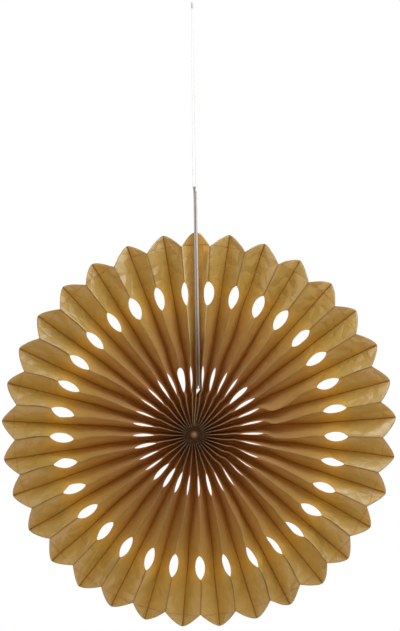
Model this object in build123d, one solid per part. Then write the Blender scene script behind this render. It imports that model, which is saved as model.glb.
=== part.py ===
from build123d import *
import math
import os

# Hanging paper fan rosette: one pleated, die-cut sheet opened into a full circle and joined at the top
# between two stiffener cards, with a glued hub and a loop of thread.
#
# Millimetres. +Z is up, the front faces -Y and X runs to the right as seen from the front. The origin is the
# top of the hanging loop, just under its knot.

# Driving dimensions: the sheet
RIM_RADIUS = 200.0  # fan centre to the petal tips
NOTCH_RADIUS = 186.0  # fan centre to the notches between petals
PETALS = 33  # each is two panels of the pleated sheet
PANEL_WIDTH = 25.0  # fold to fold, measured on the sheet
SHEET_THICKNESS = 0.2
SHEET_INNER_RADIUS = 6.0  # where the gathered inner edge ends
END_PANEL_SHARE = 0.69  # spread of the two panels beside the cards, as a share of an ordinary panel
TIP_ROUNDING = 0.28  # share of a petal's half width over which the tip rounds over
HUB_SHIFT_X = -5.0  # the gathered hub sits a little off the rim's centre
HUB_SHIFT_Z = -4.2

# Driving dimensions: the two rings of die-cut holes on the front folds
HOLE_LENGTH = 24.0
HOLE_REACH = 8.0  # fold to the widest point of the cut, measured on a panel
OUTER_HOLE_RADIUS = 138.5
INNER_HOLE_RADIUS = 54.5

# Driving dimensions: the joint at the top
CARD_THICKNESS = 1.4
CARD_EDGE_SETBACK = 0.5  # cards' long edges inside the pleats' front and back faces
CARD_INNER_RADIUS = 42.0  # fan centre to the lower ends of the cards
CARD_CORNER = 2.0
TAPE_THICKNESS = 0.8
TAPE_WIDTH = 20.0
TAPE_SETBACK = 3.0  # tape's lower end above the cards' lower ends
TAB_HEIGHT = 46.0  # taller card above the petal tips
CARD_STEP = 5.0  # the other card stops this much lower
FLAP_SETBACK = 0.5  # free edge of each end panel behind the card's front edge

# Driving dimensions: hub glue, thread and knot
GLUE_FRONT_RADIUS = 11.5
GLUE_BACK_RADIUS = 9.0
GLUE_CORE_CLEARANCE = 0.4  # between the glue core and the sheet's gathered inner edge
GLUE_THICKNESS = 1.2
GLUE_DAB_RADIUS = 3.6
GLUE_DAB_HEIGHT = 1.6
THREAD_DIAMETER = 0.8
THREAD_DROP = 181.0  # top of the loop to the top of the taller card
THREAD_BEND = 0.8  # radius of the thread's turn over the edge of its hole
THREAD_HOLE = 3.0
THREAD_HOLE_SETBACK = 3.0  # hole centre below the top of the taller card
THREAD_CLEARANCE = 0.1
THREAD_HOLE_CLEARANCE = 0.3  # between the thread and the top of its hole
STRAND_SPACING = 1.4  # between the two strands where they enter the knot
KNOT_MARGIN = 0.1  # knot's side beyond the two strands that end on its lower face
KNOT_HEIGHT = 6.0
KNOT_TOP_ROUNDING = 0.96

BANDS = 5  # rings of flat facets between the cards' lower ends and the rim
BLANK_MARGIN = 2.0  # pleated blank beyond the petal tips, trimmed away by the outline

# Derived places
STACK = 2 * CARD_THICKNESS + TAPE_THICKNESS
CARD_WIDTH = PANEL_WIDTH - 2 * CARD_EDGE_SETBACK
GLUE_CORE_RADIUS = SHEET_INNER_RADIUS - GLUE_CORE_CLEARANCE
KNOT_RADIUS = STRAND_SPACING / 2 + THREAD_DIAMETER / 2 + KNOT_MARGIN
CARD_TOP = -THREAD_DROP
FAN_CENTRE_Z = CARD_TOP - TAB_HEIGHT - RIM_RADIUS
CARD_BOTTOM = FAN_CENTRE_Z + CARD_INNER_RADIUS
FOLDS = 2 * PETALS + 1


def shrink(radius):
    """1 at the gathered inner edge, 0 from the cards' lower ends outwards."""
    return max(0.0, (CARD_INNER_RADIUS - radius) / (CARD_INNER_RADIUS - SHEET_INNER_RADIUS))


def half_gap(radius):
    """Half the space between the two end panels: the card stack, closing to nothing at the hub."""
    return SHEET_THICKNESS / 2 + (STACK / 2 - SHEET_THICKNESS / 2) * (1 - shrink(radius))


def place(radius, angle):
    """(x, z) at a distance from the fan's centre, clockwise from straight up as seen from the front."""
    x = HUB_SHIFT_X * shrink(radius) + radius * math.sin(angle)
    z = FAN_CENTRE_Z + HUB_SHIFT_Z * shrink(radius) + radius * math.cos(angle)
    return x, z


def fold_step(radius):
    """(angle of the first fold, angle from one fold to the next) where the pleats are this far out."""
    first = math.asin((half_gap(radius) + SHEET_THICKNESS / 2) / radius)
    return first, (2 * math.pi - 2 * first) / (2 * PETALS - 2 + 2 * END_PANEL_SHARE)


def fold_angle(radius, k):
    """Angle of fold k: 0 and the last lie at the cards' back edges, odd ones are the front folds."""
    first, step = fold_step(radius)
    if k == 0:
        return first
    if k == FOLDS - 1:
        return 2 * math.pi - first
    return first + (END_PANEL_SHARE + k - 1) * step


def panel_chord(radius):
    """Width of one panel as seen from the front."""
    return 2 * radius * math.sin(fold_step(radius)[1] / 2)


def sheet_ring(radius):
    """The sheet's (front, back) corner points along one ring, from one end panel's free edge to the other."""
    chord = panel_chord(radius)
    depth = math.sqrt(PANEL_WIDTH**2 - chord**2)
    through = SHEET_THICKNESS * PANEL_WIDTH / chord
    front, back = [], []
    for k in range(FOLDS):
        x, z = place(radius, fold_angle(radius, k))
        if k % 2:
            front.append((x, -depth / 2, z))
            back.append((x, through - depth / 2, z))
        else:
            front.append((x, depth / 2 - through, z))
            back.append((x, depth / 2, z))
    flap_edge = FLAP_SETBACK - CARD_WIDTH / 2
    for side, end, ridge in ((1, 0, 1), (-1, -1, -2)):
        x, _, z = front[end]
        outer, inner = x + side * SHEET_THICKNESS / 2, x - side * SHEET_THICKNESS / 2
        ridge_x, ridge_y, _ = front[ridge]
        rise = PANEL_WIDTH / 2 - back[ridge][1]
        front[end] = (outer, ridge_y + rise * (ridge_x - outer) / (ridge_x - inner), z)
        back[end] = (inner, PANEL_WIDTH / 2, z)
        at = 0 if side > 0 else len(front)
        front.insert(at, (outer, flap_edge, z))
        back.insert(at, (inner, flap_edge, z))
    return front, back


def facets(a, b, c, d):
    """Two flat triangles that close the four-sided patch a, b, c, d."""
    return [Face(Wire.make_polygon(corners, close=True)) for corners in ((a, b, c), (a, c, d))]


def pleated_blank():
    """The sheet folded and opened, before its outline and holes are cut."""
    reach = RIM_RADIUS + BLANK_MARGIN - CARD_INNER_RADIUS
    radii = [SHEET_INNER_RADIUS] + [CARD_INNER_RADIUS + reach * j / BANDS for j in range(BANDS + 1)]
    rings = [sheet_ring(radius) for radius in radii]
    faces = []
    for (front, back), (outer_front, outer_back) in zip(rings, rings[1:]):
        for i in range(len(front) - 1):
            faces += facets(front[i], front[i + 1], outer_front[i + 1], outer_front[i])
            faces += facets(back[i], back[i + 1], outer_back[i + 1], outer_back[i])
        for i in (0, -1):
            faces += facets(front[i], back[i], outer_back[i], outer_front[i])
    for front, back in (rings[0], rings[-1]):
        for i in range(len(front) - 1):
            faces += facets(front[i], front[i + 1], back[i + 1], back[i])
    return Solid(Shell(faces))


def on_front(x, z):
    """A point of the fan's outline in the XZ plane."""
    return Vector(x, 0, z)


def petal_edge(notch_fold, tip_fold):
    """One side of a petal: straight out of its notch, then rounding over at its tip."""
    notch = on_front(*place(NOTCH_RADIUS, fold_angle(NOTCH_RADIUS, notch_fold)))
    tip = on_front(*place(RIM_RADIUS, fold_angle(RIM_RADIUS, tip_fold)))
    out = (tip - on_front(0, FAN_CENTRE_Z)).normalized()
    across = (notch - tip) - out * (notch - tip).dot(out)
    return Bezier(notch, tip + across * TIP_ROUNDING, tip)


def outline():
    """The scalloped edge of the whole fan, closed straight across the card stack."""
    edges = []
    for k in range(1, FOLDS, 2):
        edges += [petal_edge(k, k - 1), petal_edge(k, k + 1)]
    edges.append(Line(edges[0] @ 1, edges[-1] @ 1))
    return Face(Wire(edges))


def hole(radius, fold):
    """A pointed oval on a front fold: the die-cut half oval of each of its panels, seen from the front."""
    angle = fold_angle(radius, fold)
    half_width = HOLE_REACH * panel_chord(radius) / PANEL_WIDTH
    centre = on_front(*place(radius, angle))
    along = on_front(math.sin(angle), math.cos(angle)) * (HOLE_LENGTH / 2)
    across = on_front(math.cos(angle), -math.sin(angle)) * half_width
    sides = [ThreePointArc(centre - along, centre + across * s, centre + along) for s in (1, -1)]
    return Face(Wire(sides))


def pleated_paper():
    front_folds = range(1, FOLDS, 2)
    cuts = [hole(radius, k) for radius in (OUTER_HOLE_RADIUS, INNER_HOLE_RADIUS) for k in front_folds]
    pattern = Face(outline().outer_wire(), [cut.outer_wire() for cut in cuts])
    die = extrude(pattern, amount=PANEL_WIDTH, dir=(0, 1, 0), both=True)
    return pleated_blank() & die


def stiffener_card(x, top):
    """One card on edge, its thickness starting at x, with rounded corners at its top."""
    height = top - CARD_BOTTOM
    plate = Pos(x + CARD_THICKNESS / 2, 0, CARD_BOTTOM + height / 2) * Box(CARD_THICKNESS, CARD_WIDTH, height)
    corners = plate.edges().filter_by(Axis.X).group_by(Axis.Z)[-1]
    return fillet(corners, CARD_CORNER)


def thread_hole():
    """A cutter through the taller card and its tape."""
    middle = Pos(0, 0, CARD_TOP - THREAD_HOLE_SETBACK) * Rot(0, 90, 0)
    return middle * Cylinder(THREAD_HOLE / 2, 2 * STACK)


def card_left():
    return stiffener_card(-STACK / 2, CARD_TOP) - thread_hole()


def card_right():
    return stiffener_card(TAPE_THICKNESS / 2, CARD_TOP - CARD_STEP)


def card_tape():
    """Double-sided adhesive strip that joins the two cards and runs to the top of the taller one."""
    height = CARD_TOP - CARD_BOTTOM - TAPE_SETBACK
    middle = Pos(0, 0, CARD_BOTTOM + TAPE_SETBACK + height / 2)
    return middle * Box(TAPE_THICKNESS, TAPE_WIDTH, height) - thread_hole()


def hub_glue():
    """Glue that locks the gathered inner edge: a front disc with a proud dab, a core and a back disc."""
    seat = PANEL_WIDTH / 2
    face = seat + GLUE_THICKNESS
    crown = (0, -face - GLUE_DAB_HEIGHT)
    shoulder = (GLUE_DAB_RADIUS * math.sqrt(0.5), -face - GLUE_DAB_HEIGHT * math.sqrt(0.5))
    dab = ThreePointArc(crown, shoulder, (GLUE_DAB_RADIUS, -face))
    corners = [
        dab @ 1,
        (GLUE_FRONT_RADIUS, -seat),
        (GLUE_CORE_RADIUS, -seat),
        (GLUE_CORE_RADIUS, seat),
        (GLUE_BACK_RADIUS, seat),
        (GLUE_BACK_RADIUS, face),
        (0, face),
        crown,
    ]
    sides = [Line(start, end) for start, end in zip(corners, corners[1:])]
    hub = Pos(HUB_SHIFT_X, 0, FAN_CENTRE_Z + HUB_SHIFT_Z)
    return hub * revolve(Face(Wire([dab, *sides])), Axis.Y)


def thread_route():
    """Down one side of the taller card, through its hole and up the other side, both ends in the knot."""
    stand_off = THREAD_DIAMETER / 2 + THREAD_CLEARANCE
    rise = THREAD_HOLE / 2 - THREAD_DIAMETER / 2 - THREAD_HOLE_CLEARANCE
    low = CARD_TOP - THREAD_HOLE_SETBACK + rise
    return [
        (-STRAND_SPACING / 2, 0, 0),
        (-STACK / 2 - stand_off, 0, low),
        (TAPE_THICKNESS / 2 + stand_off, 0, low),
        (STRAND_SPACING / 2, 0, 0),
    ]


def hanging_thread():
    route = thread_route()
    path = FilletPolyline(*route, radius=[THREAD_BEND] * (len(route) - 2))
    print("thread bend radii", [THREAD_BEND] * (len(route) - 2), "length", round(path.length, 2))
    section = Plane(origin=path @ 0, z_dir=path % 0) * Circle(THREAD_DIAMETER / 2)
    tube = sweep(section, path=path)
    drawn = math.pi * (THREAD_DIAMETER / 2) ** 2 * path.length
    print("thread volume over section times length", round(tube.volume / drawn, 4))
    flat_top = Pos(0, 0, -THREAD_DROP) * Box(4 * STACK, 4 * STACK, 2 * THREAD_DROP)
    return tube & flat_top


def thread_knot():
    """The tight knot that closes the loop; the strands end on its flat lower face."""
    body = Pos(0, 0, KNOT_HEIGHT / 2) * Cylinder(KNOT_RADIUS, KNOT_HEIGHT)
    return fillet(body.edges().group_by(Axis.Z)[-1], KNOT_TOP_ROUNDING)


NODES = {
    "pleated_paper": pleated_paper,
    "card_left": card_left,
    "card_right": card_right,
    "card_tape": card_tape,
    "hub_glue": hub_glue,
    "hanging_thread": hanging_thread,
    "thread_knot": thread_knot,
}

os.makedirs("parts", exist_ok=True)
for name, make in NODES.items():
    export_step(make(), f"parts/{name}.step")
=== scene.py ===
import math

import bpy
import numpy as np
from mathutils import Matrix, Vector


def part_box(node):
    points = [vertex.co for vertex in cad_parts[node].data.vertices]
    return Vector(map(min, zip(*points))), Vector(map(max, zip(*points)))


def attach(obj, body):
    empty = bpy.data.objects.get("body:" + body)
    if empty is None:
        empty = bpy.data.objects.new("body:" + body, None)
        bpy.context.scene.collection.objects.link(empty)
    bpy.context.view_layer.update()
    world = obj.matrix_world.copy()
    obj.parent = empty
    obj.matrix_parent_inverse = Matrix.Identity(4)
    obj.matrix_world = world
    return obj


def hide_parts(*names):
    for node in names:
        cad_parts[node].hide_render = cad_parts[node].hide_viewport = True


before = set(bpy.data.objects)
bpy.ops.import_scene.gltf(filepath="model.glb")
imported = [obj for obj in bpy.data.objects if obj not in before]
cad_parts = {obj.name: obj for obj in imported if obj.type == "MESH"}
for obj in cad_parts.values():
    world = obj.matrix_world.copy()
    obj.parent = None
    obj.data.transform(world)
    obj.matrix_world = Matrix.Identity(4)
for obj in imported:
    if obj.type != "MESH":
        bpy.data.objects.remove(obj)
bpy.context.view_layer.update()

MM = 0.001
rng = np.random.default_rng(33)

# ---------------------------------------------------------------- places taken from the CAD frame
CARD_LOW, CARD_HIGH = (np.array(corner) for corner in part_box("card_left"))
RIGHT_CARD_HIGH = np.array(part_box("card_right")[1])
GLUE_LOW, GLUE_HIGH = (np.array(corner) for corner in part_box("hub_glue"))

# The die-cut sheet, as the real sheet is cut and pleated
PETALS = 33
FOLDS = 2 * PETALS + 1
RIM_RADIUS = 200 * MM
NOTCH_DROP = 14 * MM
PANEL_WIDTH = 25 * MM
PAPER_THICKNESS = 0.16 * MM
END_PANEL_SHARE = 0.69  # spread of a panel beside the cards, against the others
TIP_ROUNDING = 0.28  # 0 for a pointed petal
HOLE_HALF_LENGTH = 12 * MM
HOLE_REACH = 8 * MM  # fold to the widest point of the cut, measured on a panel
INNER_HOLE_RADIUS = 54.5 * MM
OUTER_HOLE_RADIUS = 138.5 * MM
STACK_HALF = float(RIGHT_CARD_HIGH[0])  # half the thickness of the two cards and their tape
CARD_INNER_RADIUS = 42 * MM  # the rim's centre to the lower ends of the cards
CENTRE = np.array([0.0, 0.0, CARD_LOW[2] - CARD_INNER_RADIUS])
HUB = (GLUE_LOW + GLUE_HIGH) / 2
HUB[1] = 0.0


def smooth(x, low, high):
    """0 below low, 1 above high, easing between."""
    t = np.clip((np.asarray(x, float) - low) / (high - low), 0, 1)
    return t * t * (3 - 2 * t)


def around(table, degrees):
    """A base value plus smooth bumps around the circle."""
    base, bumps = table
    total = base
    for centre, half_width, amount in bumps:
        off = abs((degrees - centre + 180) % 360 - 180) / half_width
        total += amount * (0.5 + 0.5 * math.cos(math.pi * off)) * (off < 1)
    return total


# ---------------------------------------------------------------- camera
CAMERA_DISTANCE = 3.0
FRAME_HEIGHT = 0.638  # height of the view at the fan
SENSOR_WIDTH = 36
AIM = (0.0029, 0.0, CENTRE[2] + 0.1159)
CAMERA_ROLL = math.radians(0.9)


def make_camera():
    data = bpy.data.cameras.new("camera")
    data.sensor_width = SENSOR_WIDTH
    data.lens = SENSOR_WIDTH * CAMERA_DISTANCE / FRAME_HEIGHT
    camera = bpy.data.objects.new("camera", data)
    camera.location = (AIM[0], -CAMERA_DISTANCE, AIM[2])
    camera.rotation_euler = (math.pi / 2, CAMERA_ROLL, 0)
    bpy.context.scene.collection.objects.link(camera)
    bpy.context.scene.camera = camera


# ---------------------------------------------------------------- helpers
def add(obj, slot, *replaced):
    bpy.context.scene.collection.objects.link(obj)
    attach(obj, "root")
    if replaced:
        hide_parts(*replaced)
    return obj


class Nodes:
    """Short names for building one node material."""

    def __init__(self, name):
        self.material = bpy.data.materials.new(name)
        self.material.use_nodes = True
        self.tree = self.material.node_tree
        self.tree.nodes.clear()
        self.out = self.new("ShaderNodeOutputMaterial")

    def new(self, kind, **values):
        node = self.tree.nodes.new(kind)
        for key, value in values.items():
            if hasattr(node, key):
                setattr(node, key, value)
            else:
                node.inputs[key.replace("_", " ")].default_value = value
        return node

    def link(self, a, b):
        self.tree.links.new(a, b)

    def coords(self):
        return self.new("ShaderNodeTexCoord").outputs["Object"]

    def noise(self, where, scale, detail=4.0, roughness=0.5):
        node = self.new("ShaderNodeTexNoise", Scale=scale, Detail=detail, Roughness=roughness)
        self.link(where, node.inputs["Vector"])
        return node.outputs["Fac"]

    def put(self, value, socket):
        """A number, a colour or another node's output into a socket."""
        if isinstance(value, (int, float)):
            socket.default_value = value
        elif isinstance(value, tuple):
            socket.default_value = (*value, 1)
        else:
            self.link(value, socket)

    def math(self, operation, a, b=0.0, clamp=False):
        node = self.new("ShaderNodeMath", operation=operation, use_clamp=clamp)
        self.put(a, node.inputs[0])
        self.put(b, node.inputs[1])
        return node.outputs[0]

    def share(self, distance, width):
        """1 at no distance, easing to 0 at the width."""
        return self.math("SUBTRACT", 1.0, self.math("DIVIDE", distance, width), clamp=True)

    def mix(self, fac, a, b, blend_type="MIX"):
        node = self.new("ShaderNodeMix", data_type="RGBA", blend_type=blend_type)
        self.put(fac, node.inputs[0])
        self.put(a, node.inputs[6])
        self.put(b, node.inputs[7])
        return node.outputs[2]

    def curve(self, value, stops):
        """Straight lines through a few (place, height) stops."""
        return self.ramp(value, tuple((place, (height,) * 3) for place, height in stops))

    def ramp(self, fac, stops):
        node = self.new("ShaderNodeValToRGB")
        elements = node.color_ramp.elements
        while len(elements) < len(stops):
            elements.new(0.5)
        for element, (place, colour) in zip(elements, stops):
            element.position = place
            element.color = (*colour, 1)
        self.link(fac, node.inputs["Fac"])
        return node.outputs["Color"]


# ---------------------------------------------------------------- the pleated sheet
HUB_START = 5.5 * MM
TIP_CREASE = 187.5 * MM  # a crease that the packing pressed across every petal
# How far the folds open out puffy, at distances from the hub
PUFF_AT = (40 * MM, 60 * MM, 80 * MM, 118 * MM, 150 * MM, 190 * MM)
PUFF = (0.0, 0.15, 0.24, 0.2, 0.12, 0.05)
HOLE_EDGE = HOLE_REACH / PANEL_WIDTH

# How the opened sheet differs around the circle: (clockwise degrees from the top, half width, amount)
INNER_OPENING = 0.62, ((50, 16, 0.6), (214, 24, 0.6), (256, 10, 0.3), (344, 10, 1.05), (170, 7, 0.5),
                       (14, 8, 0.3), (122, 42, -0.45), (302, 26, -0.3))
OUTER_OPENING = 0.98, ((30, 55, 0.12), (4, 9, 0.28), (120, 50, -0.12), (155, 22, -0.26), (296, 40, -0.12),
                       (355, 8, -0.2))
HOLE_TILT = 0, ((148, 62, -8.5), (276, 62, 8.5))  # degrees that the outer holes lean off the radius
LEAN = 0, ((108, 75, 1.1), (182, 20, 0.3))  # degrees that the folds lie clockwise of even spacing
# Ridges that buckle sideways, in mm: just inside their inner holes, then just outside them
SMALL_KINKS = {9: -1.0, 10: -1.4, 11: -1.8, 12: -2.0, 13: -1.6}
KINKS = {6: 7.0, 7: 6.0, 8: 4.6}
SWAY_LENGTHS = (9.0, 16.0, 31.0)  # of the slow bends along a fold, in mm
SWAY_AT = (12 * MM, 30 * MM, 55 * MM, 72 * MM, 112 * MM, 190 * MM)
SWAY = (0.0, 0.12, 0.16, 0.42, 0.25, 0.1)  # size of those bends, in mm
LEAN_SPREAD = 0.0035  # radians that one fold lies off even spacing
GAP_START = 39.5 * MM  # the end panels part from here, to make room for the cards
GAP_FULL = 42.5 * MM
END_PANELS_SHORT = 0.6  # how far both end panels together fall short of two full ones
CRUMPLE_SPACING = 60 * MM  # from panel to panel on the crumple map, so no two look alike
EDGE_DEPTH = 10 * MM  # depth of the rim map's first unit, in from the cut edge
PANEL_SEED = 1000
CARD_INSET = 0.5 * MM  # end panels' free edges behind the cards' front edges


def hub_pull(s):
    """How far the gathered hub's offset reaches out along the folds."""
    return np.interp(s, (6 * MM, 44 * MM, 88 * MM), (1, 0.3, 0))


def half_gap(s):
    """Half the space the card stack takes between the sheet's two end panels."""
    return STACK_HALF * smooth(s, GAP_START, GAP_FULL)


def fold_step(s):
    """Angle of the first fold, and the angle between folds."""
    first = np.arcsin(np.clip((half_gap(s) + PAPER_THICKNESS / 2) / s, 0, 0.9))
    return first, (2 * math.pi - 2 * first) / (2 * PETALS - 2 + 2 * end_share(s))


def end_share(s):
    """Spread of the panels beside the cards; nearer the hub they fan out to fill the joint."""
    return END_PANEL_SHARE + 0.55 * (1 - smooth(s, 24 * MM, 52 * MM))


MEAN_ANGLE = 2 * math.pi * (np.arange(FOLDS) - 0.5 * (FOLDS - 1)) / (FOLDS - 1 - END_PANELS_SHORT) + math.pi
FOLD_LEAN = rng.normal(0, LEAN_SPREAD, FOLDS)
FOLD_WAVE = rng.uniform(0, 2 * math.pi, (FOLDS, 3))
FOLD_SWAY = rng.normal(0, 1, (FOLDS, 3))


def fold_angle(k, s):
    """Clockwise angle from the top of fold k at distances s from the hub; odd folds are ridges."""
    first, step = fold_step(s)
    if k == 0:
        return first
    if k == FOLDS - 1:
        return 2 * math.pi - first
    angle = first + (end_share(s) + k - 1) * step
    degrees = math.degrees(MEAN_ANGLE[k])
    window = smooth(s, 108 * MM, 128 * MM) * (1 - smooth(s, 150 * MM, 186 * MM))
    off = s - OUTER_HOLE_RADIUS
    tilt = np.radians(around(HOLE_TILT, degrees)) * off / s * window * (k % 2)
    angle = angle + tilt + np.radians(around(LEAN, degrees)) * smooth(s, 60 * MM, 120 * MM)
    sway = sum(FOLD_SWAY[k, j] * np.sin(s / (length * MM) + FOLD_WAVE[k, j])
               for j, length in enumerate(SWAY_LENGTHS))
    sway = sway * np.interp(s, SWAY_AT, SWAY) * MM / s
    lean = FOLD_LEAN[k] * smooth(s, 30 * MM, 120 * MM)
    ridge = (k - 1) // 2
    kink = 0.0
    if k % 2 and ridge in KINKS:
        rise = smooth(s, 66 * MM, 78 * MM) * (1 - smooth(s, 79 * MM, 118 * MM))
        kink = KINKS[ridge] * MM * rise / s
    if k % 2 and ridge in SMALL_KINKS:
        rise = smooth(s, 33 * MM, 37 * MM) * (1 - smooth(s, 40 * MM, 60 * MM))
        kink = SMALL_KINKS[ridge] * MM * rise / s
    return angle + sway + lean + kink


def fold_line(k, s):
    """(x, z) of fold k at distances s from the hub."""
    angle = fold_angle(k, s)
    pull = hub_pull(s)
    # The two end folds are glued to the cards as far down as those reach
    sideways = pull * (1 - smooth(s, 38 * MM, 43 * MM)) if k in (0, FOLDS - 1) else pull
    x = (HUB[0] - CENTRE[0]) * sideways + s * np.sin(angle)
    z = CENTRE[2] + (HUB[2] - CENTRE[2]) * pull + s * np.cos(angle)
    return np.stack([x, z], -1)


def petal_edge(t):
    """Distance from the hub of the sheet's cut edge, t from a notch (0) to a tip (1)."""
    a, b = 1 - 2 * TIP_ROUNDING, 2 * TIP_ROUNDING
    q = (-b + np.sqrt(b * b + 4 * a * (1 - t))) / (2 * a)
    return RIM_RADIUS - NOTCH_DROP * q * q


def hole_side(s, centre):
    """Share of a panel's width that the hole takes at s."""
    arc = (HOLE_HALF_LENGTH**2 + HOLE_REACH**2) / (2 * HOLE_REACH)
    off = np.clip(np.abs(s - centre), 0, HOLE_HALF_LENGTH)
    return np.maximum(np.sqrt(arc**2 - off**2) - (arc - HOLE_REACH), 0) / PANEL_WIDTH


# Stretches of rows from the hub to the notches: start, end, count, and closer together at both ends or not
ROWS_TO = (
    (HUB_START, INNER_HOLE_RADIUS - HOLE_HALF_LENGTH, 9, False),
    (INNER_HOLE_RADIUS - HOLE_HALF_LENGTH, INNER_HOLE_RADIUS + HOLE_HALF_LENGTH, 12, True),
    (INNER_HOLE_RADIUS + HOLE_HALF_LENGTH, OUTER_HOLE_RADIUS - HOLE_HALF_LENGTH, 15, False),
    (OUTER_HOLE_RADIUS - HOLE_HALF_LENGTH, OUTER_HOLE_RADIUS + HOLE_HALF_LENGTH, 12, True),
    (OUTER_HOLE_RADIUS + HOLE_HALF_LENGTH, RIM_RADIUS - 2 * NOTCH_DROP, 6, True),
)
EDGE_ROWS = 11  # rows from the last stretch out to the petals' cut edge
COLUMNS = np.array([0, 0.03, 0.1, 0.22, 0.36, 0.52, 0.68, 0.84, 0.94, 0.985, 1.0])


def row_distances():
    """Distances of the rows from the hub."""
    rows = [HUB_START]
    for low, high, count, eased in ROWS_TO:
        t = np.arange(1, count + 1) / count
        if eased:
            t = (1 - np.cos(math.pi * t)) / 2
        rows += list(low + (high - low) * t)
    return np.array(rows)


def panel(k_ridge, k_valley, rows, seed):
    """Grid of points over one panel, rows by columns: column 0 on the ridge, the last on the valley."""
    noise = np.random.default_rng(seed)
    base = rows[-1]
    s = np.repeat(rows[:, None], len(COLUMNS), 1)
    u = np.repeat(COLUMNS[None, :], len(rows), 0)
    cut = np.maximum(hole_side(rows, INNER_HOLE_RADIUS), hole_side(rows, OUTER_HOLE_RADIUS))[:, None]
    u = cut + u * (1 - cut)
    top = np.arange(1, EDGE_ROWS + 1)[:, None] / EDGE_ROWS
    edge = petal_edge(COLUMNS)[None, :]
    s = np.vstack([s, base + (edge - base) * top])
    u = np.vstack([u, np.repeat(COLUMNS[None, :], EDGE_ROWS, 0)])
    ridge, valley = fold_line(k_ridge, s), fold_line(k_valley, s)
    chord = np.linalg.norm(valley - ridge, axis=-1)
    window_in = smooth(s, 30 * MM, 44 * MM) * (1 - smooth(s, 64 * MM, 92 * MM))
    window_out = smooth(s, 112 * MM, 128 * MM) * (1 - smooth(s, 150 * MM, 175 * MM))
    degrees = math.degrees(MEAN_ANGLE[k_ridge])
    open_by = (1 + (around(INNER_OPENING, degrees) - 1) * window_in) * (
        1 + (around(OUTER_OPENING, degrees) - 1) * window_out)
    power = 1 + np.log(open_by) / math.log(HOLE_EDGE)
    inside = u**power
    # Folds that were pressed flat open out puffy on the front and stay sharp at the back
    puff = np.interp(s, PUFF_AT, PUFF) * u * (1 - u)
    across = inside + puff
    deep = np.sqrt(np.maximum(PANEL_WIDTH**2 - np.minimum(chord, 0.98 * PANEL_WIDTH) ** 2, 0))
    y = -deep / 2 + deep * (inside - puff)
    # The panel's own shape: a belly, lengthwise waves, straight creases and a bent tip
    middle = 4 * u * (1 - u)
    lift = noise.normal(0, 0.5) * MM * smooth(s, 30 * MM, 90 * MM) * middle
    for length in (7.0, 13.0, 24.0):
        turn = s / (length * MM) + noise.uniform(0, 6.3) + 2 * u * noise.normal()
        lift += noise.normal(0, 0.2) * MM * np.sin(turn) * smooth(s, 20 * MM, 60 * MM) * middle
    for _ in range(3):
        along = noise.uniform(120, 190) * MM
        slope = noise.uniform(-1.5, 1.5) * PANEL_WIDTH
        reach = noise.uniform(7, 14) * MM
        off = np.abs(s - along - slope * (u - 0.5))
        tent = np.maximum(0, 1 - off / reach)
        lift += noise.normal(0, 0.8) * MM * tent * np.sin(math.pi * u) * smooth(s, 100 * MM, 140 * MM)
    y += 0.12 * np.maximum(0, s - TIP_CREASE)
    flat = ridge + (valley - ridge) * across[..., None]
    side = (valley - ridge) / np.maximum(chord, 1e-9)[..., None]
    normal_x = side[..., 0] * deep / PANEL_WIDTH
    normal_z = side[..., 1] * deep / PANEL_WIDTH
    normal_y = -chord / PANEL_WIDTH
    x, z = flat[..., 0] + normal_x * lift, flat[..., 1] + normal_z * lift
    return np.stack([x, y + normal_y * lift, z], -1), cut, u, s


FLAP_PLACE = (0.5, 0.5, 0.01, 0.15, 1, 0.5)  # one plain spot of the sheet on all three maps


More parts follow.
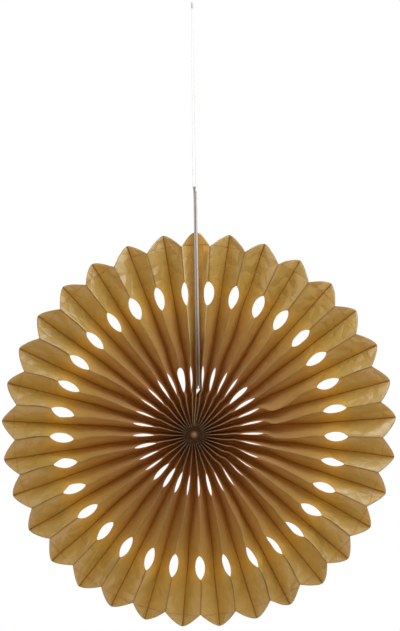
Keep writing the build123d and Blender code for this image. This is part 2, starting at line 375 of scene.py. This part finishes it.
def paper_mesh():
    """The whole sheet: panels joined along their folds, except where a hole parts them."""
    rows = row_distances()
    count_rows, count_columns = len(rows) + EDGE_ROWS, len(COLUMNS)
    vertices, faces = [], []
    grids, places = [], []
    for k in range(FOLDS - 1):
        ridge, valley = (k + 1, k) if k % 2 == 0 else (k, k + 1)
        points, cut, u, s = panel(ridge, valley, rows, PANEL_SEED + k)
        grids.append((points, cut, k % 2 == 0))
        inset = (petal_edge(u) - s) / EDGE_DEPTH
        places.append(np.stack([u, s / RIM_RADIUS, u * PANEL_WIDTH + CRUMPLE_SPACING * k, s, inset, u], -1))
    ids = {}
    for k, (points, cut, flipped) in enumerate(grids):
        for i in range(count_rows):
            holed = i < len(rows) and cut[i, 0] > 1e-6
            for j in range(count_columns):
                fold = None
                if j == count_columns - 1:
                    fold = ("valley", k if flipped else k + 1, i)
                elif j == 0 and not holed:
                    fold = ("ridge", k + 1 if flipped else k, i)
                key = fold or ("own", k, i, j)
                if key not in ids:
                    ids[key] = len(vertices)
                    vertices.append(points[i, j])
                elif fold:
                    vertices[ids[key]] = (vertices[ids[key]] + points[i, j]) / 2
                ids[("at", k, i, j)] = ids[key]
    corners = []
    for k, (points, cut, flipped) in enumerate(grids):
        for i in range(count_rows - 1):
            for j in range(count_columns - 1):
                ring = [(i, j), (i, j + 1), (i + 1, j + 1), (i + 1, j)]
                if flipped:
                    ring.reverse()
                faces.append([ids[("at", k, a, b)] for a, b in ring])
                corners += [places[k][a, b] for a, b in ring]
    # The two end panels, glued flat on the cards' outer faces
    for k, side in ((0, 1), (FOLDS - 2, -1)):
        fold_ids = [ids[("at", k, i, count_columns - 1)] for i in range(count_rows)]
        free = []
        for vertex in fold_ids:
            x, _, z = vertices[vertex]
            free.append(len(vertices))
            vertices.append(np.array([x, CARD_LOW[1] + CARD_INSET, z]))
        for i in range(count_rows - 1):
            quad = [fold_ids[i], fold_ids[i + 1], free[i + 1], free[i]]
            faces.append(quad if side > 0 else quad[::-1])
            corners += [FLAP_PLACE] * 4
    mesh = bpy.data.meshes.new("pleated_paper_sheet")
    mesh.from_pydata([tuple(v) for v in vertices], [], faces)
    mesh.update()
    corners = np.array(corners, dtype=np.float32)
    for name, pair in (("sheet", corners[:, :2]), ("crumple", corners[:, 2:4]), ("rim", corners[:, 4:])):
        mesh.uv_layers.new(name=name).data.foreach_set("uv", pair.ravel())
    for polygon in mesh.polygons:
        polygon.use_smooth = True
    return mesh


def paper_material():
    """Gold-brown tissue: across runs from ridge (0) to valley (1), along from hub (0) to tip (1)."""
    n = Nodes("gold_tissue_paper")
    where = n.coords()
    place = n.new("ShaderNodeUVMap", uv_map="sheet")
    split = n.new("ShaderNodeSeparateXYZ")
    n.link(place.outputs["UV"], split.inputs["Vector"])
    across, along = split.outputs["X"], split.outputs["Y"]
    cloud = n.noise(where, 14, 5, 0.6)
    # The paper's own gold-brown, varied along the radius by painted light: a painted sheen greys it olive at
    # the rim, a painted glow of light through the paper warms it golden around the outer holes, and painted
    # shade browns and reddens it towards the hub
    colour = n.ramp(along, (
        (0.0, (0.500, 0.280, 0.170)), (0.17, (0.470, 0.230, 0.120)), (0.27, (0.500, 0.270, 0.120)),
        (0.40, (0.455, 0.270, 0.110)), (0.60, (0.430, 0.285, 0.092)), (0.72, (0.490, 0.345, 0.085)),
        (0.80, (0.400, 0.302, 0.086)), (1.0, (0.390, 0.302, 0.106))))
    # The two end panels lie over pale card
    panels = n.new("ShaderNodeUVMap", uv_map="crumple")
    count = n.new("ShaderNodeSeparateXYZ")
    n.link(panels.outputs["UV"], count.inputs["Vector"])
    last = CRUMPLE_SPACING * (FOLDS - 2)
    off_middle = n.math("ABSOLUTE", n.math("SUBTRACT", count.outputs["X"], last / 2))
    end = n.math("GREATER_THAN", off_middle, last / 2 - CRUMPLE_SPACING / 2)
    end = n.math("MULTIPLY", end, n.curve(along, ((0.4, 0.0), (0.5, 0.8), (0.68, 0.9), (1.0, 1.0))))
    colour = n.mix(end, colour, (0.720, 0.600, 0.300))
    tone = n.curve(cloud, ((0.3, 0.88), (0.7, 1.0)))
    colour = n.mix(1.0, colour, tone, "MULTIPLY")
    # Valleys: painted shade, a maroon streak that widens towards the hub, and a crisp dark line of painted
    # shadow in the crease
    valley = n.math("SUBTRACT", 1.0, across)
    width = n.curve(along, ((0.0, 0.85), (0.25, 0.7), (0.4, 0.42), (0.55, 0.34), (0.68, 0.08), (1.0, 0.05)))
    valley_shade = n.share(valley, width)
    valley_shade = n.math("MULTIPLY", valley_shade, n.curve(along, ((0.0, 1.0), (0.5, 1.0), (0.62, 0.5), (0.7, 0.0))))
    valley_shade = n.math("MULTIPLY", valley_shade, n.curve(cloud, ((0.35, 0.6), (0.6, 1.0))))
    crease_shadow = n.math("MULTIPLY", n.share(valley, 0.06), 0.95)
    # Maroon tint of the painted valley shade, deeper towards the hub
    deep = n.ramp(along, ((0.1, (0.26, 0.17, 0.20)), (0.24, (0.42, 0.28, 0.34)), (0.36, (0.58, 0.40, 0.50))))
    colour = n.mix(valley_shade, colour, deep, "MULTIPLY")
    # Ridges: painted shade dulling them between the two rings of holes, a painted highlight paling them near
    # the hub, and a thin line of painted shade along them near the rim
    between = n.curve(along, ((0.28, 0.0), (0.34, 1.0), (0.55, 0.8), (0.68, 0.0)))
    ridge_shade = n.math("MULTIPLY", n.share(across, 0.40), between)
    colour = n.mix(ridge_shade, colour, (0.74, 0.76, 0.68), "MULTIPLY")
    ridge_highlight = n.math("MULTIPLY", n.share(across, 0.10), n.curve(along, ((0.22, 0.8), (0.3, 0.0))))
    colour = n.mix(ridge_highlight, colour, (0.520, 0.400, 0.260))
    # Painted shadow along the valley crease
    colour = n.mix(crease_shadow, colour, (0.110, 0.036, 0.012))
    # The front mask: a thin line of painted shade along each ridge near the rim
    front = n.math("MULTIPLY", n.share(across, 0.06), n.curve(along, ((0.7, 0.0), (0.77, 0.9), (1.0, 0.7))))
    colour = n.mix(front, colour, (0.160, 0.070, 0.020))
    sheen = n.math("SUBTRACT", 1.0, n.math("MAXIMUM", front, crease_shadow))
    # The petals' cut edge is darker
    rim = n.new("ShaderNodeUVMap", uv_map="rim")
    inset = n.new("ShaderNodeSeparateXYZ")
    n.link(rim.outputs["UV"], inset.inputs["Vector"])
    outline = n.math("MULTIPLY", n.share(inset.outputs["X"], 0.09), 0.7)
    colour = n.mix(outline, colour, (0.170, 0.120, 0.030))
    # The crease across each petal just inside its tip, drawn as a thin dark line of painted shade
    off = n.math("ABSOLUTE", n.math("SUBTRACT", along, TIP_CREASE / RIM_RADIUS))
    line = n.math("MULTIPLY", n.share(off, 0.004), n.curve(cloud, ((0.35, 0.15), (0.5, 0.8))))
    colour = n.mix(line, colour, (0.20, 0.11, 0.03))
    # Crumpled all over, most of all near the rim
    fibres = n.noise(where, 900, 6, 0.7)
    crumple = n.new("ShaderNodeUVMap", uv_map="crumple")
    warp = n.new("ShaderNodeTexNoise", Scale=30, Detail=3)
    n.link(crumple.outputs["UV"], warp.inputs["Vector"])
    shift = n.new("ShaderNodeVectorMath", operation="SCALE")
    n.link(warp.outputs["Color"], shift.inputs[0])
    shift.inputs["Scale"].default_value = 0.012
    moved = n.new("ShaderNodeVectorMath", operation="ADD")
    n.link(crumple.outputs["UV"], moved.inputs[0])
    n.link(shift.outputs["Vector"], moved.inputs[1])
    facets = n.new("ShaderNodeTexVoronoi", feature="DISTANCE_TO_EDGE", Scale=62)
    n.link(moved.outputs["Vector"], facets.inputs["Vector"])
    amount = n.curve(along, ((0.3, 0.25), (0.66, 0.35), (0.8, 1.0)))
    folded = n.math("MULTIPLY", facets.outputs["Distance"], amount)
    crinkle = n.math("ADD", folded, n.math("MULTIPLY", n.noise(where, 90, 6, 0.65), 0.25))
    bump = n.new("ShaderNodeBump", Strength=0.9, Distance=0.004)
    n.link(crinkle, bump.inputs["Height"])
    fine = n.new("ShaderNodeBump", Strength=0.2, Distance=0.0001)
    n.link(fibres, fine.inputs["Height"])
    n.link(bump.outputs["Normal"], fine.inputs["Normal"])
    paper = n.new("ShaderNodeBsdfPrincipled", Roughness=0.38)
    gloss = n.curve(along, ((0.3, 0.2), (0.65, 0.35), (0.8, 0.95)))
    n.link(n.math("MULTIPLY", gloss, sheen), paper.inputs["Specular IOR Level"])
    coat = n.curve(along, ((0.66, 0.0), (0.8, 0.6)))
    n.link(n.math("MULTIPLY", coat, sheen), paper.inputs["Coat Weight"])
    paper.inputs["Coat Roughness"].default_value = 0.42
    n.link(colour, paper.inputs["Base Color"])
    n.link(fine.outputs["Normal"], paper.inputs["Normal"])
    # Light from behind glows through it
    through = n.new("ShaderNodeBsdfTranslucent")
    n.link(n.mix(0.5, colour, (0.80, 0.47, 0.10)), through.inputs["Color"])
    n.link(fine.outputs["Normal"], through.inputs["Normal"])
    mix = n.new("ShaderNodeMixShader", Fac=0.6)
    n.link(paper.outputs["BSDF"], mix.inputs[1])
    n.link(through.outputs["BSDF"], mix.inputs[2])
    n.link(mix.outputs["Shader"], n.out.inputs["Surface"])
    return n.material


def make_paper():
    mesh = paper_mesh()
    paper = bpy.data.objects.new("pleated_sheet", mesh)
    mesh.materials.append(paper_material())
    thick = paper.modifiers.new("thickness", "SOLIDIFY")
    thick.thickness = PAPER_THICKNESS
    thick.offset = 0
    thick.use_rim = True
    return add(paper, "gold_paper", "pleated_paper")


# ---------------------------------------------------------------- cards, tape and hub
DISC_RADIUS = 8.5 * MM
DISC_RINGS = 14
DISC_SPOKES = 6 * PETALS
DISC_CROWN = 0.9 * MM
DISC_PLEAT = 0.5 * MM  # how far the pleats show through the disc
DISC_THICKNESS = 0.6 * MM
DAB_HEIGHT = 1.1 * MM
TINT_RADIUS = 9 * MM
GRAIN_DEPTH = 0.05 * MM


def plain_material(name, dark, light, scale, roughness):
    """Two near tones in a fine grain."""
    n = Nodes(name)
    grain = n.noise(n.coords(), scale, 6, 0.65)
    colour = n.ramp(grain, ((0.3, dark), (0.7, light)))
    bump = n.new("ShaderNodeBump", Strength=0.4, Distance=GRAIN_DEPTH)
    n.link(grain, bump.inputs["Height"])
    surface = n.new("ShaderNodeBsdfPrincipled", Roughness=roughness)
    n.link(colour, surface.inputs["Base Color"])
    n.link(bump.outputs["Normal"], surface.inputs["Normal"])
    n.link(surface.outputs["BSDF"], n.out.inputs["Surface"])
    return n.material


def strip_material(name, colour, roughness):
    """Card or tape: grey, with painted shade darkening its lower end among the gathered paper and a band of
    painted shadow at its top end by the thread.
    """
    n = Nodes(name)
    where = n.coords()
    split = n.new("ShaderNodeSeparateXYZ")
    n.link(where, split.inputs["Vector"])
    height = float(CARD_HIGH[2] - CARD_LOW[2])
    up = n.math("DIVIDE", n.math("SUBTRACT", split.outputs["Z"], float(CARD_LOW[2])), height)
    # Painted shade towards the lower end, full tone above, and painted shadow at the top end
    shade = n.ramp(up, ((0.0, (0.30, 0.22, 0.17)), (0.14, (0.24, 0.17, 0.13)), (0.25, (0.42, 0.36, 0.33)),
                        (0.45, (0.80, 0.78, 0.76)), (0.8, (1.0, 1.0, 1.0)), (0.965, (1.0, 1.0, 1.0)),
                        (0.975, (0.55, 0.55, 0.55))))
    grain = n.curve(n.noise(where, 220, 4, 0.6), ((0.3, 0.9), (0.7, 1.0)))
    mixed = n.mix(1.0, n.mix(1.0, colour, shade, "MULTIPLY"), grain, "MULTIPLY")
    surface = n.new("ShaderNodeBsdfPrincipled", Roughness=roughness)
    surface.inputs["Specular IOR Level"].default_value = 0.1
    n.link(mixed, surface.inputs["Base Color"])
    n.link(surface.outputs["BSDF"], n.out.inputs["Surface"])
    return n.material


def dress(node, material):
    """A CAD node that is shown as it is, in this material."""
    obj = bpy.data.objects[node]
    obj.data.materials.clear()
    obj.data.materials.append(material)


def hub_material():
    """Glue brown, lighter in the dab in the middle, with painted shade darkening the recessed disc to near
    black outwards.
    """
    n = Nodes("brown_glue")
    flat = n.new("ShaderNodeVectorMath", operation="MULTIPLY")
    n.link(n.coords(), flat.inputs[0])
    flat.inputs[1].default_value = (1, 0, 1)
    reach = n.new("ShaderNodeVectorMath", operation="LENGTH")
    n.link(flat.outputs["Vector"], reach.inputs[0])
    out = n.math("DIVIDE", reach.outputs["Value"], TINT_RADIUS)
    # Painted shade: near black away from the dab, where the disc lies recessed
    colour = n.ramp(out, ((0.0, (0.190, 0.095, 0.040)), (0.2, (0.130, 0.062, 0.026)),
                          (0.42, (0.040, 0.017, 0.008)), (1.0, (0.030, 0.013, 0.007))))
    surface = n.new("ShaderNodeBsdfPrincipled", Roughness=0.9)
    surface.inputs["Specular IOR Level"].default_value = 0.0
    n.link(colour, surface.inputs["Base Color"])
    n.link(surface.outputs["BSDF"], n.out.inputs["Surface"])
    return n.material


def make_hub():
    """Glued centre: a shallow disc with the pleats showing through it and a proud dab."""
    front = GLUE_LOW[1]
    seat = -PANEL_WIDTH / 2
    vertices, faces = [(0, front, 0)], []
    for i in range(1, DISC_RINGS + 1):
        r = DISC_RADIUS * i / DISC_RINGS
        dab = DAB_HEIGHT * (1 - smooth(r, 1.0 * MM, 4.2 * MM))
        for j in range(DISC_SPOKES):
            a = 2 * math.pi * j / DISC_SPOKES
            pleat = DISC_PLEAT * math.cos(PETALS * a) * smooth(r, 2.5 * MM, 8 * MM)
            y = seat - DISC_CROWN * (1 - r / DISC_RADIUS) - dab - pleat
            vertices.append((r * math.sin(a), float(y), r * math.cos(a)))
    for j in range(DISC_SPOKES):
        k = (j + 1) % DISC_SPOKES
        faces.append((0, 1 + k, 1 + j))
        for i in range(DISC_RINGS - 1):
            a, b = 1 + i * DISC_SPOKES, 1 + (i + 1) * DISC_SPOKES
            faces.append((a + j, a + k, b + k, b + j))
    mesh = bpy.data.meshes.new("hub_glue_disc")
    mesh.from_pydata(vertices, [], faces)
    for polygon in mesh.polygons:
        polygon.use_smooth = True
    hub = bpy.data.objects.new("glued_hub", mesh)
    hub.location = (HUB[0], 0, HUB[2])
    mesh.materials.append(hub_material())
    thick = hub.modifiers.new("thickness", "SOLIDIFY")
    thick.thickness = DISC_THICKNESS
    thick.offset = -1
    return add(hub, "brown_glue", "hub_glue")


# ---------------------------------------------------------------- thread
THREAD_RADIUS = 0.4 * MM
HOLE_LEVEL = CARD_HIGH[2] - 2.2 * MM  # where the thread rests in the taller card's hole
THREAD_LEFT, THREAD_RIGHT = -2.3 * MM, 0.9 * MM  # the strands on both faces of that card
THREAD_STRAIGHT = 5 * MM  # straight run above each turn
STRAND_HALF = 0.7 * MM  # half the distance between the strands at the knot


def thread_points():
    turn = HOLE_LEVEL + THREAD_STRAIGHT
    return [(-STRAND_HALF, 0, 0), (THREAD_LEFT, 0, turn), (THREAD_LEFT, 0, HOLE_LEVEL),
            (THREAD_RIGHT, 0, HOLE_LEVEL), (THREAD_RIGHT, 0, turn), (STRAND_HALF, 0, 0)]


def make_thread():
    points = thread_points()
    curve = bpy.data.curves.new("thread_line", "CURVE")
    curve.dimensions = "3D"
    curve.bevel_depth = THREAD_RADIUS
    curve.bevel_resolution = 3
    spline = curve.splines.new("NURBS")
    spline.points.add(len(points) - 1)
    for point, place in zip(spline.points, points):
        point.co = (*place, 1)
    spline.order_u = 3
    spline.use_endpoint_u = True
    spline.resolution_u = 24
    thread = bpy.data.objects.new("hanging_loop", curve)
    white = plain_material("white_thread", (0.46, 0.46, 0.455), (0.54, 0.54, 0.535), 3000, 0.9)
    curve.materials.append(white)
    add(thread, "white_thread", "hanging_thread")


# ---------------------------------------------------------------- stage
def make_light(name, place, size, power, colour=(1, 1, 1)):
    """Soft rectangular light aimed at the fan's centre."""
    data = bpy.data.lights.new(name, "AREA")
    data.shape = "RECTANGLE"
    data.size, data.size_y = size
    data.energy = power
    data.color = colour
    light = bpy.data.objects.new(name, data)
    light.location = place
    bpy.context.scene.collection.objects.link(light)
    aim = Vector(CENTRE) - Vector(place)
    light.rotation_euler = aim.to_track_quat("-Z", "Y").to_euler()


def make_stage():
    """Pale floor and soft light; the background is seen pure white without adding light."""
    world = bpy.data.worlds.new("studio")
    bpy.context.scene.world = world
    world.use_nodes = True
    tree = world.node_tree
    tree.nodes.clear()
    out = tree.nodes.new("ShaderNodeOutputWorld")
    mix = tree.nodes.new("ShaderNodeMixShader")
    path = tree.nodes.new("ShaderNodeLightPath")
    room = tree.nodes.new("ShaderNodeBackground")
    room.inputs["Color"].default_value = (1, 1, 1, 1)
    room.inputs["Strength"].default_value = 0.75
    seen = tree.nodes.new("ShaderNodeBackground")
    seen.inputs["Color"].default_value = (1, 1, 1, 1)
    seen.inputs["Strength"].default_value = 1.0
    tree.links.new(path.outputs["Is Camera Ray"], mix.inputs["Fac"])
    tree.links.new(room.outputs[0], mix.inputs[1])
    tree.links.new(seen.outputs[0], mix.inputs[2])
    tree.links.new(mix.outputs[0], out.inputs["Surface"])
    mesh = bpy.data.meshes.new("floor")
    half, level = 1.6, CENTRE[2] - 0.55
    corners = [(-half, -half, level), (half, -half, level), (half, half, level), (-half, half, level)]
    mesh.from_pydata(corners, [], [(0, 1, 2, 3)])
    floor = bpy.data.objects.new("floor", mesh)
    mesh.materials.append(plain_material("pale_floor", (0.8, 0.8, 0.8), (0.84, 0.84, 0.84), 4, 0.8))
    bpy.context.scene.collection.objects.link(floor)
    make_light("overhead", (0.5, -0.55, CENTRE[2] + 1.1), (1.3, 0.8), 20, (0.97, 1.0, 0.95))
    make_light("front", (0.3, -1.6, CENTRE[2] + 1.9), (1.6, 1.6), 11)
    make_light("right", (1.1, -0.5, CENTRE[2] + 0.9), (0.7, 0.9), 6, (0.94, 1.0, 0.96))
    make_light("left", (-1.1, -0.45, CENTRE[2] + 0.9), (0.7, 0.9), 6, (0.94, 1.0, 0.96))
    make_light("back", (0.0, 2.0, CENTRE[2] + 0.8), (2.2, 2.2), 42)


make_camera()
make_thread()
dress("thread_knot", plain_material("knot_thread", (0.30, 0.30, 0.30), (0.38, 0.38, 0.38), 2500, 0.9))
make_paper()
make_hub()
dress("card_left", strip_material("grey_card_left", (0.265, 0.240, 0.235), 0.85))
dress("card_right", strip_material("grey_card_right", (0.430, 0.375, 0.360), 0.85))
dress("card_tape", strip_material("adhesive_tape", (0.520, 0.460, 0.445), 0.75))
make_stage()
bpy.context.scene.view_settings.view_transform = "Standard"
